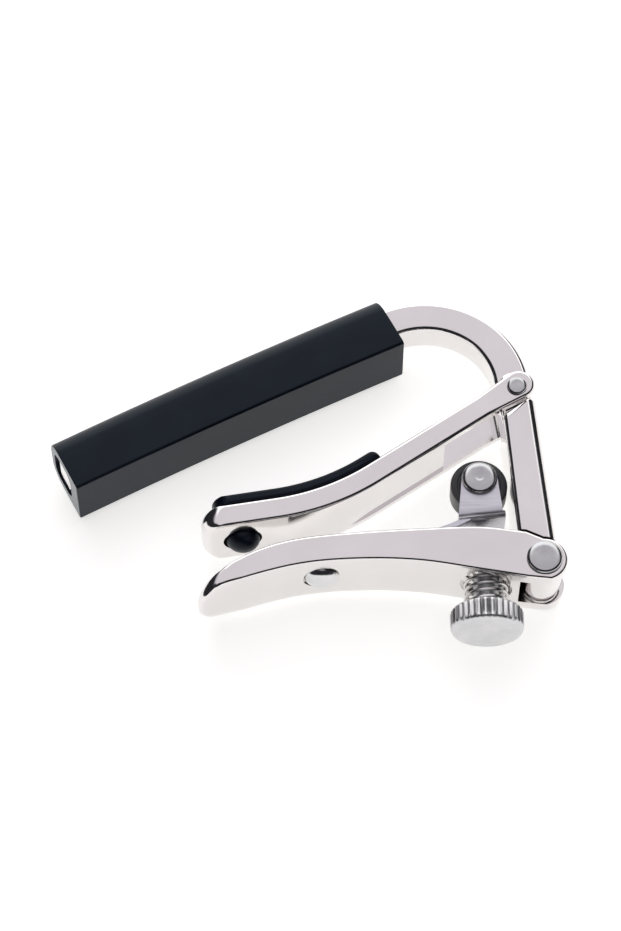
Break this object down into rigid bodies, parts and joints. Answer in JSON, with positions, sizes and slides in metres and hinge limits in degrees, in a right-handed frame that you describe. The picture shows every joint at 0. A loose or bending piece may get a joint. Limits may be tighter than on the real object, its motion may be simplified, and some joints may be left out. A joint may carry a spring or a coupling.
{
  "type": "guitar capo",
  "caption": "Bent metal capo with a rubber sleeve that presses the strings, a padded swinging arm behind the neck, and a lever with a roller and a thumb screw that clamp it",
  "frame": {"origin": "middle of the underside of the capo as it lies on its side", "axes": "+X runs along the string sleeve from its open end towards the bend, +Y points from the neck arm to the strings' side, +Z is across the width of the capo; shown closed and off the neck"},
  "size_m": [0.0728, 0.0608, 0.0128],
  "materials": {
    "plated_metal": "polished nickel plate",
    "sleeve_rubber": "smooth matt",
    "pad_rubber": "smooth matt",
    "sheet_steel": "satin",
    "turned_steel": "bright turned",
    "roller_plastic": "semi-matt"
  },
  "bodies": {
    "frame": {"frame_bar": "plated_metal", "string_sleeve": "sleeve_rubber"},
    "arm": {"neck_arm": "plated_metal", "neck_pad": "pad_rubber", "arm_pivot_rivet": "turned_steel"},
    "lever": {"lever": "plated_metal", "lever_pivot_rivet": "turned_steel", "bracket_rivet": "turned_steel"},
    "roller_arm": {"roller_bracket": "sheet_steel", "roller_axle_rivet": "turned_steel"},
    "roller": {"roller_wheel": "roller_plastic"},
    "screw_carrier": {"screw_spring": "turned_steel"},
    "screw": {"thumb_screw": "turned_steel"}
  },
  "joints": [
    {"name": "arm_swing", "type": "hinge", "parent": "frame", "child": "arm", "pos_m": [0.0321, 0.00485, 0.0064], "axis": [0, 0, 1], "range_deg": [-11.5, 3]},
    {"name": "lever_swing", "type": "hinge", "parent": "frame", "child": "lever", "pos_m": [0.02104, -0.02339, 0.0064], "axis": [0, 0, 1], "range_deg": [0, 110]},
    {"name": "bracket_flex", "type": "hinge", "parent": "lever", "child": "roller_arm", "pos_m": [-0.00759, -0.00562, 0.0064], "axis": [0, 0, 1], "range_deg": [0, 3.25]},
    {"name": "roller_spin", "type": "hinge", "parent": "roller_arm", "child": "roller", "pos_m": [0.01946, -0.00613, 0.0064], "axis": [0, 0, 1], "continuous": true},
    {"name": "screw_feed", "type": "slide", "parent": "lever", "child": "screw_carrier", "axis": [0.4602, 0.8878, 0], "range_m": [0, 0.0014], "deforming": ["screw_spring"]},
    {"name": "screw_turn", "type": "hinge", "parent": "screw_carrier", "child": "screw", "pos_m": [0.01336, -0.01941, 0.0064], "axis": [0.4602, 0.8878, 0], "range_deg": [0, 720]}
  ],
  "couplings": [
    {"joint": "screw_turn", "follows": "screw_feed", "rad_per_m": 8975.9},
    {"joint": "bracket_flex", "follows": "screw_feed", "rad_per_m": 40}
  ]
}
